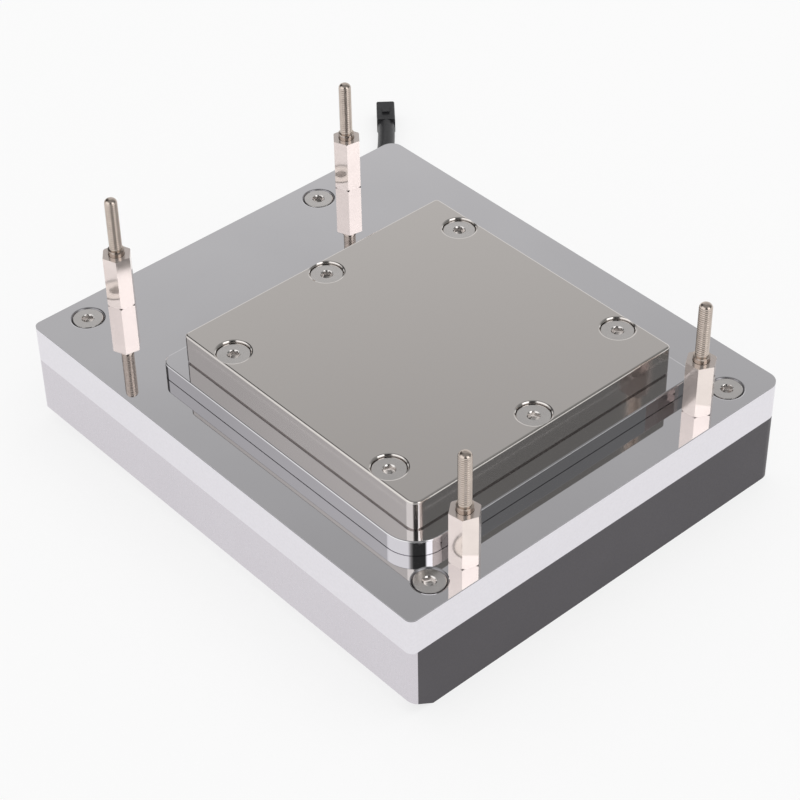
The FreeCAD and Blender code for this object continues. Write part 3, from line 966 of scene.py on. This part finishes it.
def make_surroundings(context, stage):
    """A world that lights evenly, shows the camera a pale backdrop, and shows metal the studio's cards."""
    world = bpy.data.worlds.new("studio")
    world.use_nodes = True
    tree = world.node_tree
    tree.nodes.clear()
    view = tree.nodes.new("ShaderNodeTexCoord").outputs["Generated"]
    split = put(tree, "ShaderNodeSeparateXYZ", {0: view})
    across = Wire(tree, split.outputs["Y"]).calc("ARCTAN2", Wire(tree, split.outputs["X"]))
    height = Wire(tree, split.outputs["Z"])
    ramp = surroundings_ramp(tree, across / math.tau + 0.5)
    falling = Wire(tree, ramp.outputs["Alpha"])
    fall = (1.0 + (PLAIN_HEIGHT - height) * FALL_RATE * falling).most(FALL_LEAST).least(FALL_MOST)
    scaled = put(tree, "ShaderNodeVectorMath", {0: ramp.outputs[0], "Scale": fall}, operation="SCALE")
    high_up = ((height - OVERHEAD_FROM) / OVERHEAD_BLEND).most(0.0).least(1.0)
    low_down = ((HORIZON_BELOW - height) / HORIZON_BLEND).most(0.0).least(1.0)
    cards = blended(tree, high_up, scaled.outputs[0], OVERHEAD)
    cards = blended(tree, low_down, cards, NEAR_HORIZON)
    even = put(tree, "ShaderNodeBackground", {"Color": (1, 1, 1, 1), "Strength": stage.ambient})
    backdrop = put(tree, "ShaderNodeBackground", {"Color": (*BACKDROP, 1), "Strength": 1.0})
    mirrored = put(tree, "ShaderNodeBackground", {"Color": cards, "Strength": 1.0})
    rays = tree.nodes.new("ShaderNodeLightPath").outputs
    sockets = {0: rays["Is Glossy Ray"], 1: even.outputs[0], 2: mirrored.outputs[0]}
    unseen = put(tree, "ShaderNodeMixShader", sockets)
    sockets = {0: rays["Is Camera Ray"], 1: unseen.outputs[0], 2: backdrop.outputs[0]}
    shown = put(tree, "ShaderNodeMixShader", sockets)
    leave = tree.nodes.new("ShaderNodeOutputWorld")
    tree.links.new(shown.outputs[0], leave.inputs["Surface"])
    context.scene.world = world


def make_lamp(context, stage):
    """A wide soft lamp overhead, which polished metal doesn't mirror."""
    data = bpy.data.lights.new("key", "AREA")
    data.shape = "DISK"
    data.size = 1.3
    data.energy = stage.lamp_power
    lamp = bpy.data.objects.new("key", data)
    place = Vector(LAMP_PLACE)
    lamp.location = place
    lamp.rotation_euler = place.to_track_quat("Z", "Y").to_euler()
    lamp.visible_glossy = False
    context.scene.collection.objects.link(lamp)


# Pieces


class COLDPLATE_OT_sensor_lead(Operator):
    """Lays the sensor's lead and dresses its boot and plug"""

    bl_idname = "coldplate.sensor_lead"
    bl_label = "Sensor lead"

    def execute(self, context):
        sizes = context.scene.coldplate_sizes
        finishes = context.scene.coldplate_finishes
        curve = bpy.data.curves.new("sensor_lead_jacket", "CURVE")
        curve.dimensions = "3D"
        curve.bevel_depth = sizes.lead_diameter / 2
        curve.bevel_resolution = 6
        curve.resolution_u = 12
        curve.use_fill_caps = True
        spline = curve.splines.new("NURBS")
        spline.points.add(len(LEAD_ROUTE) - 1)
        for point, place in zip(spline.points, LEAD_ROUTE):
            point.co = (*place, 1.0)
        spline.use_endpoint_u = True
        spline.order_u = 3
        curve.materials.append(plastic("lead_jacket", finishes.jacket, rough=0.42, relief=0.004 * MM))
        lead = bpy.data.objects.new("sensor_lead_jacket", curve)
        context.scene.collection.objects.link(lead)
        fitted(lead, ["sensor_lead"])
        dress("sensor_plug", plastic("plug_plastic", finishes.plug, rough=0.45))
        dress("sensor_boot", plastic("boot_rubber", finishes.boot, rough=0.6, relief=0.02 * MM))
        return {"FINISHED"}


class COLDPLATE_OT_plates(Operator):
    """Gives the plates, the housing and the hidden pieces their finishes"""

    bl_idname = "coldplate.plates"
    bl_label = "Plates and housing"

    def execute(self, context):
        sizes = context.scene.coldplate_sizes
        finishes = context.scene.coldplate_finishes
        dress("mounting_plate", plate_finish(finishes, sizes.edge_shade_height))
        duller_side = {"height": top_of("contact_plate") - 0.1 * MM, "top_tone": 1.0, "side_rough": 0.09}
        nickel = metal(
            "contact_nickel",
            finishes.nickel,
            rough=0.03,
            spread=0.012,
            tone=0.015,
            grain=1500.0,
            cloud=35.0,
            zone=duller_side,
        )
        dress("contact_plate", nickel)
        satin = metal(
            "housing_satin", finishes.satin, rough=0.3, spread=0.04, tone=0.02, grain=3500.0, cloud=50.0
        )
        dress("housing", satin)
        dark = metal("cover_dark", finishes.cover, rough=0.42, spread=0.04, tone=0.03, grain=3500.0)
        dress("end_cover", dark)
        rubber = plastic("seal_rubber", finishes.seal, rough=0.6)
        dress("housing_seal", rubber)
        dress("contact_seal", rubber)
        dress("flow_divider", plastic("divider_plastic", finishes.divider, rough=0.45, tone=0.05))
        dress("sensor_probe", metal("probe_steel", finishes.probe, rough=0.22))
        return {"FINISHED"}


class COLDPLATE_OT_screws(Operator):
    """Stands the socket screws in their counterbores"""

    bl_idname = "coldplate.screws"
    bl_label = "Socket screws"

    def execute(self, context):
        sizes = context.scene.coldplate_sizes
        finishes = context.scene.coldplate_finishes
        steel = metal("screw_steel", finishes.screw, rough=0.17, tone=0.03, grain=3000.0, cloud=500.0)
        tree = screw_tree(steel)
        for name, nodes in (("contact_screws", CONTACT_SCREWS), ("plate_screws", PLATE_SCREWS)):
            low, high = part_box(nodes[0])
            places = [Vector((middle(n).x, middle(n).y, top_of(n))) for n in nodes]
            values = {
                "Head radius": (high.x - low.x) / 2,
                "Head height": sizes.head_height,
                "Head bevel": sizes.head_bevel,
                "Socket size": sizes.socket_flats,
                "Socket depth": sizes.socket_depth,
                "Shank radius": sizes.thread_radius,
                "Length": high.z - low.z - sizes.head_height,
                "First turn": sizes.socket_turn,
                "Turn per screw": sizes.socket_step,
            }
            piece = grown(name, places, tree, values, smooth_angle=math.radians(24))
            fitted(piece, nodes)
        return {"FINISHED"}


class COLDPLATE_OT_standoffs(Operator):
    """Makes the four hex standoffs"""

    bl_idname = "coldplate.standoffs"
    bl_label = "Hex standoffs"

    def execute(self, context):
        sizes = context.scene.coldplate_sizes
        finishes = context.scene.coldplate_finishes
        # Painted shade: the standoffs' top faces are toned darker than their sides
        painted_shade_top = {"height": top_of(STANDOFFS[0]) - 0.05 * MM, "top_tone": 0.66, "side_rough": 0.0}
        plated = metal(
            "standoff_brass",
            finishes.standoff,
            rough=0.12,
            tone=0.03,
            grain=2500.0,
            cloud=300.0,
            bare=0.65,
            zone=painted_shade_top,
        )
        low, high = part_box(STANDOFFS[0])
        places = [Vector((middle(n).x, middle(n).y, PLATE_TOP)) for n in STANDOFFS]
        values = {
            "Hex size": sizes.hex_flats,
            "Height": high.z - PLATE_TOP,
            "Foot cut": sizes.foot_cut,
            "Rim cut": sizes.rim_cut,
            "Spigot radius": sizes.thread_radius,
            "Spigot length": PLATE_TOP - low.z,
            "Bore": sizes.grip_radius + THREAD_CLEAR,
            "Bore depth": sizes.bore_depth,
        }
        turns = [math.radians(turn) for turn in HEX_TURNS]
        tree = standoff_tree(plated)
        piece = grown("hex_standoffs", places, tree, values, smooth_angle=math.radians(25), turns=turns)
        fitted(piece, STANDOFFS)
        return {"FINISHED"}


class COLDPLATE_OT_studs(Operator):
    """Screws the threaded studs into the standoffs"""

    bl_idname = "coldplate.studs"
    bl_label = "Threaded studs"

    def execute(self, context):
        sizes = context.scene.coldplate_sizes
        finishes = context.scene.coldplate_finishes
        plated = metal(
            "stud_steel", finishes.stud, rough=0.2, spread=0.04, tone=0.08, grain=4000.0, cloud=900.0
        )
        low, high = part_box(STUDS[0])
        places = [Vector((middle(n).x, middle(n).y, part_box(n)[0].z)) for n in STUDS]
        values = {
            "Radius": sizes.stud_radius,
            "Length": high.z - low.z,
            "Pitch": sizes.thread_pitch,
            "Thread depth": sizes.thread_depth,
            "Tip round": sizes.stud_tip,
            "Grip height": top_of(STANDOFFS[0]) - low.z + sizes.grip_rise,
            "Grip rim": sizes.grip_radius - sizes.stud_radius,
        }
        tree = thread_tree(plated)
        piece = grown("threaded_studs", places, tree, values, smooth_angle=math.radians(60))
        fitted(piece, STUDS)
        return {"FINISHED"}


# Panel and run


class COLDPLATE_PT_panel(Panel):
    """Lists the operators and their values"""

    bl_idname = "COLDPLATE_PT_panel"
    bl_label = "Cold Plate"
    bl_space_type = "VIEW_3D"
    bl_region_type = "UI"
    bl_category = "Cold Plate"

    def draw(self, context):
        layout = self.layout
        for title, owner in (
            ("Stage", context.scene.coldplate_stage),
            ("Finishes", context.scene.coldplate_finishes),
            ("Sizes", context.scene.coldplate_sizes),
        ):
            box = layout.box()
            box.label(text=title)
            for key in owner.__annotations__:
                box.prop(owner, key)
        for maker in OPERATORS:
            layout.operator(maker.bl_idname)


GROUPS = {
    "coldplate_sizes": ColdPlateSizes,
    "coldplate_finishes": ColdPlateFinishes,
    "coldplate_stage": ColdPlateStage,
}
OPERATORS = (
    COLDPLATE_OT_stage,
    COLDPLATE_OT_sensor_lead,
    COLDPLATE_OT_plates,
    COLDPLATE_OT_screws,
    COLDPLATE_OT_standoffs,
    COLDPLATE_OT_studs,
)


def register():
    for group in GROUPS.values():
        bpy.utils.register_class(group)
    for maker in OPERATORS:
        bpy.utils.register_class(maker)
    bpy.utils.register_class(COLDPLATE_PT_panel)
    for key, group in GROUPS.items():
        setattr(bpy.types.Scene, key, PointerProperty(type=group))


def unregister():
    for key in GROUPS:
        delattr(bpy.types.Scene, key)
    bpy.utils.unregister_class(COLDPLATE_PT_panel)
    for maker in reversed(OPERATORS):
        bpy.utils.unregister_class(maker)
    for group in reversed(list(GROUPS.values())):
        bpy.utils.unregister_class(group)


def main():
    register()
    bpy.context.scene.view_settings.view_transform = "Standard"
    for maker in OPERATORS:
        group, name = maker.bl_idname.split(".")
        getattr(getattr(bpy.ops, group), name)()


if __name__ == "__main__":
    main()
